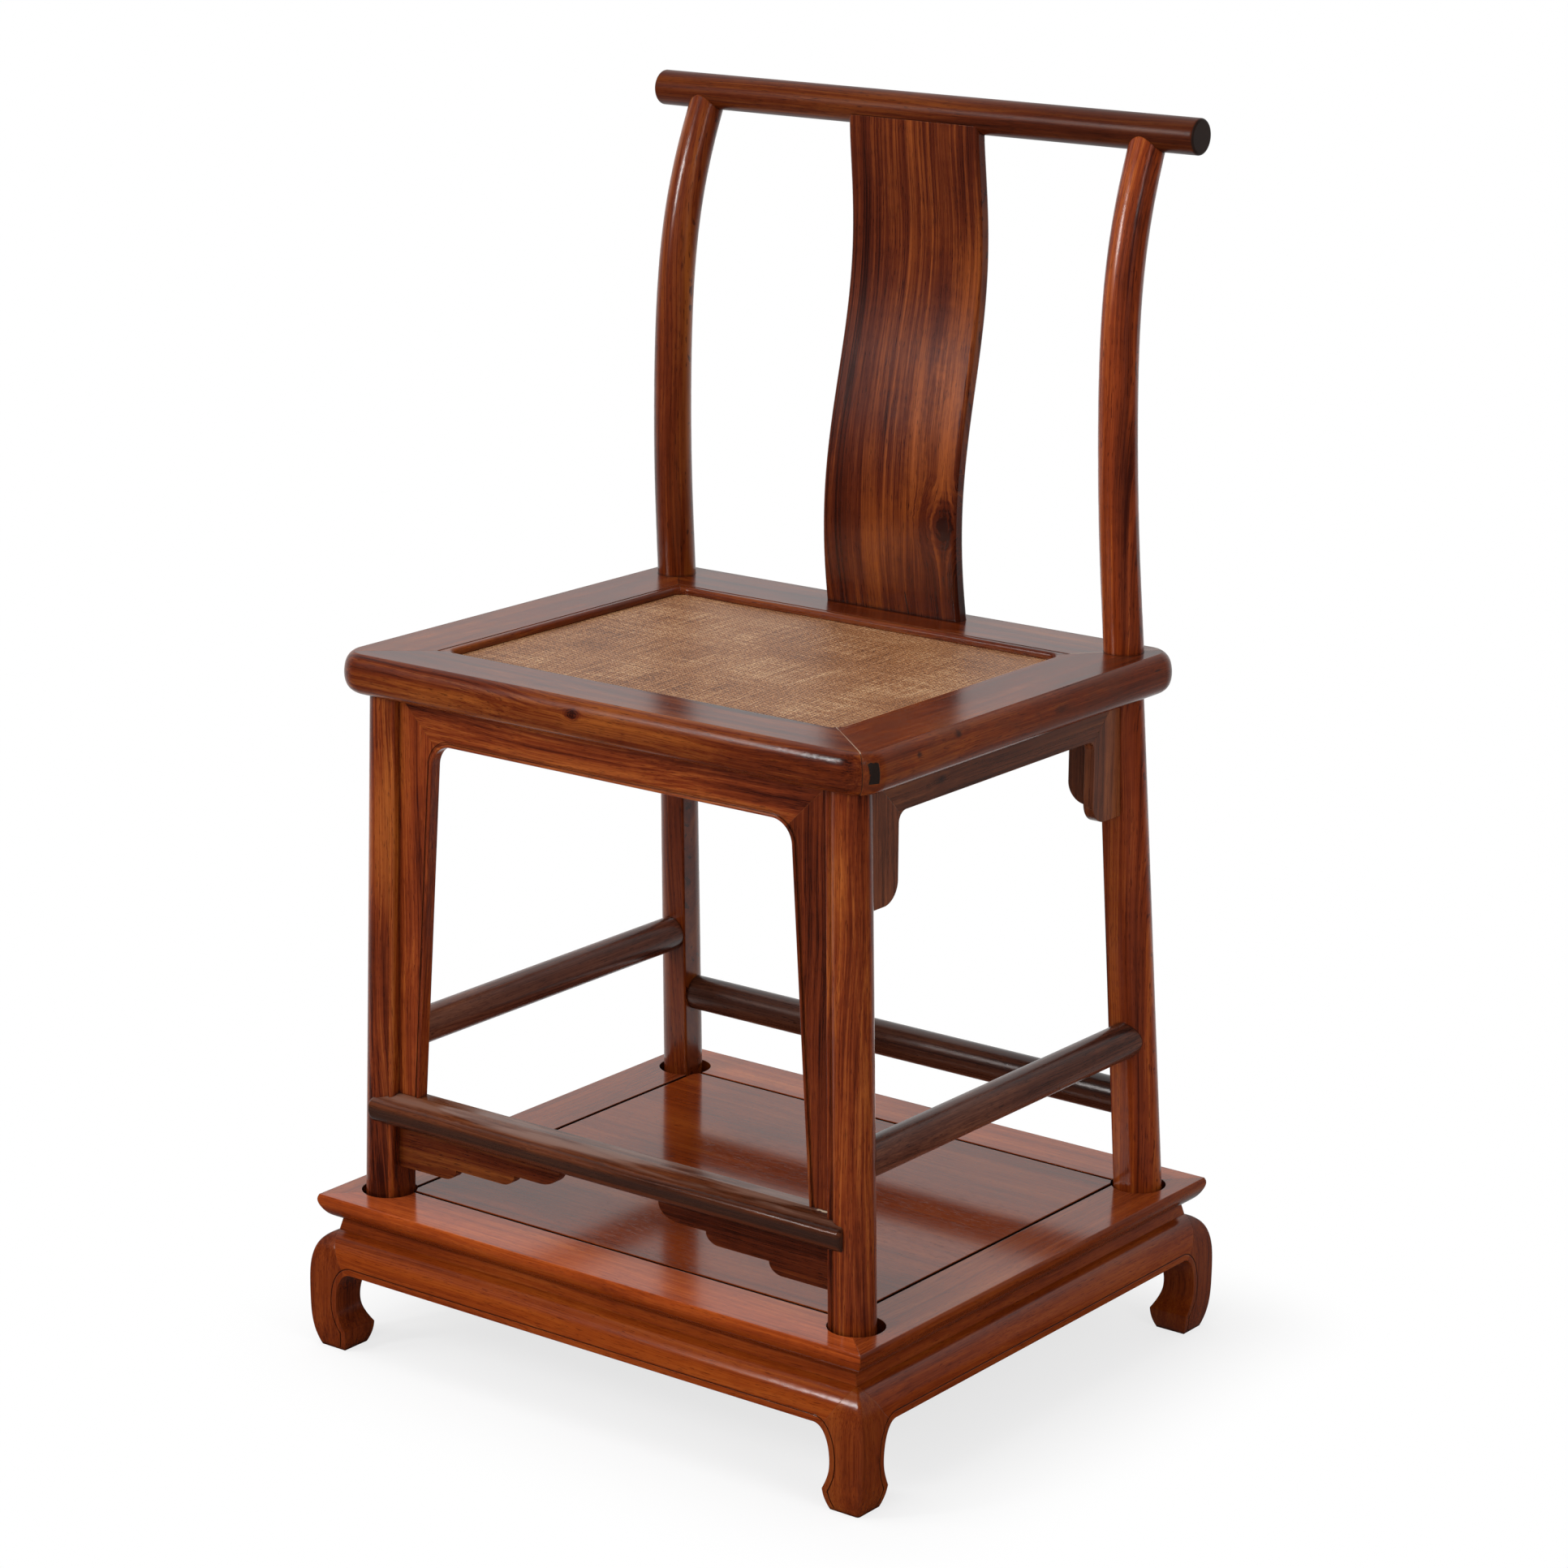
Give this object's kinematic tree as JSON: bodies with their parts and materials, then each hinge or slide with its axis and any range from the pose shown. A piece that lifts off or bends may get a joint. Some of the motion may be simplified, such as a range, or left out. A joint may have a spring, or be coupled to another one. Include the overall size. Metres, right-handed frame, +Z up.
{
  "type": "official's hat chair",
  "caption": "Armless high-backed side chair with an overhanging crest rail, curved splat and cane seat, standing in the sockets of a low hoof-footed stand.",
  "frame": {"origin": "on the floor, under the centre of the stand", "axes": "+Z up, -Y the way the chair faces, +X to the right of someone who looks at its front"},
  "size_m": [0.6162, 0.5434, 1.1036],
  "materials": {
    "chair_wood": "waxed and polished reddish-brown hardwood",
    "dark_wood": "waxed and polished near-black hardwood",
    "stand_wood": "lacquered red-brown hardwood",
    "woven_cane": "finely woven tan cane, matt"
  },
  "bodies": {
    "stand": {"stand_apron_front": "stand_wood", "stand_apron_left": "stand_wood", "stand_apron_rear": "stand_wood", "stand_apron_right": "stand_wood", "stand_batten_left": "stand_wood", "stand_batten_right": "stand_wood", "stand_frame_front": "stand_wood", "stand_frame_left": "stand_wood", "stand_frame_rear": "stand_wood", "stand_frame_right": "stand_wood", "stand_leg_front_left": "stand_wood", "stand_leg_front_right": "stand_wood", "stand_leg_rear_left": "stand_wood", "stand_leg_rear_right": "stand_wood", "stand_panel": "stand_wood", "stand_waist_front": "stand_wood", "stand_waist_left": "stand_wood", "stand_waist_rear": "stand_wood", "stand_waist_right": "stand_wood"},
    "chair": {"back_splat": "chair_wood", "crest_rail": "chair_wood", "footrest": "dark_wood", "footrest_apron": "chair_wood", "front_apron_head": "chair_wood", "front_leg_left": "chair_wood", "front_leg_right": "chair_wood", "front_spandrel_left": "chair_wood", "front_spandrel_right": "chair_wood", "left_apron_head": "chair_wood", "left_spandrel_front": "chair_wood", "left_spandrel_rear": "chair_wood", "rear_apron_head": "chair_wood", "rear_leg_left": "chair_wood", "rear_leg_right": "chair_wood", "rear_spandrel_left": "chair_wood", "rear_spandrel_right": "chair_wood", "rear_stretcher": "dark_wood", "right_apron_head": "chair_wood", "right_spandrel_front": "chair_wood", "right_spandrel_rear": "chair_wood", "seat_bead_front": "chair_wood", "seat_bead_left": "chair_wood", "seat_bead_rear": "chair_wood", "seat_bead_right": "chair_wood", "seat_brace_left": "chair_wood", "seat_brace_right": "chair_wood", "seat_mat": "woven_cane", "seat_rail_front": "chair_wood", "seat_rail_left": "chair_wood", "seat_rail_rear": "chair_wood", "seat_rail_right": "chair_wood", "side_stretcher_left": "dark_wood", "side_stretcher_right": "dark_wood"}
  },
  "joints": [
    {"name": "chair_lift", "type": "slide", "parent": "stand", "child": "chair", "axis": [0, 0, 1], "range_m": [0, 0.06]}
  ]
}
